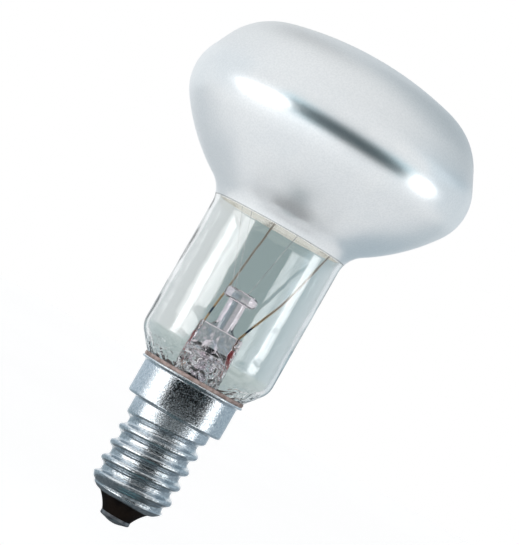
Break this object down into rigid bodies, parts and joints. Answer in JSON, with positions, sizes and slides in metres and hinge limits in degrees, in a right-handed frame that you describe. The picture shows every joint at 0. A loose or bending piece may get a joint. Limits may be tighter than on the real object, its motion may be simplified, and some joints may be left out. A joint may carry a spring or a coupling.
{
  "type": "reflector bulb",
  "caption": "Mushroom-shaped reflector lamp with a clear neck, inner stem and wires, a satin mirrored head and a small skirted screw cap for a lamp holder.",
  "frame": {"origin": "on the lamp's axis, level with the flat underside of the cap's skirt, where the plain barrel of the screw cap starts", "axes": "+Z along the lamp's axis from the cap to the front, +X along the wide side of the stem's pinch, -Y towards the viewer of the picture"},
  "size_m": [0.05, 0.05, 0.0856],
  "materials": {
    "bulb_glass": "clear blown glass at the neck, satin head, frosted front",
    "mirror": "vacuum-deposited aluminium",
    "nickel_sheet": "bright nickel-plated rolled sheet with fine pitting",
    "black_glass": "black moulded glass, slightly matt",
    "contact_plate": "dull plated brass",
    "solder": "dull soft solder",
    "cement": "matt baked cement, brown with a pink cast",
    "stem_glass": "clear lead glass",
    "lead_wire": "nickel wire with a heat-tinted brown lower end",
    "dumet": "copper-clad wire with a red oxide skin",
    "copper_wire": "bare copper wire",
    "tungsten": "grey drawn tungsten coil",
    "support_wire": "bright molybdenum wire"
  },
  "bodies": {
    "root": {"glass_bulb": "bulb_glass", "mirror_coating": "mirror", "cap_shell": "nickel_sheet", "cap_insulator": "black_glass", "centre_contact": "contact_plate", "centre_solder": "solder", "shell_solder": "solder", "cap_cement": "cement", "stem_flare": "stem_glass", "exhaust_tube": "stem_glass", "support_rod": "stem_glass", "inner_lead_left": "lead_wire", "inner_lead_right": "lead_wire", "dumet_seal_left": "dumet", "dumet_seal_right": "dumet", "outer_lead_shell": "copper_wire", "outer_lead_centre": "copper_wire", "filament": "tungsten", "support_wire_front": "support_wire", "support_wire_left": "support_wire", "support_wire_back": "support_wire"}
  },
  "joints": []
}
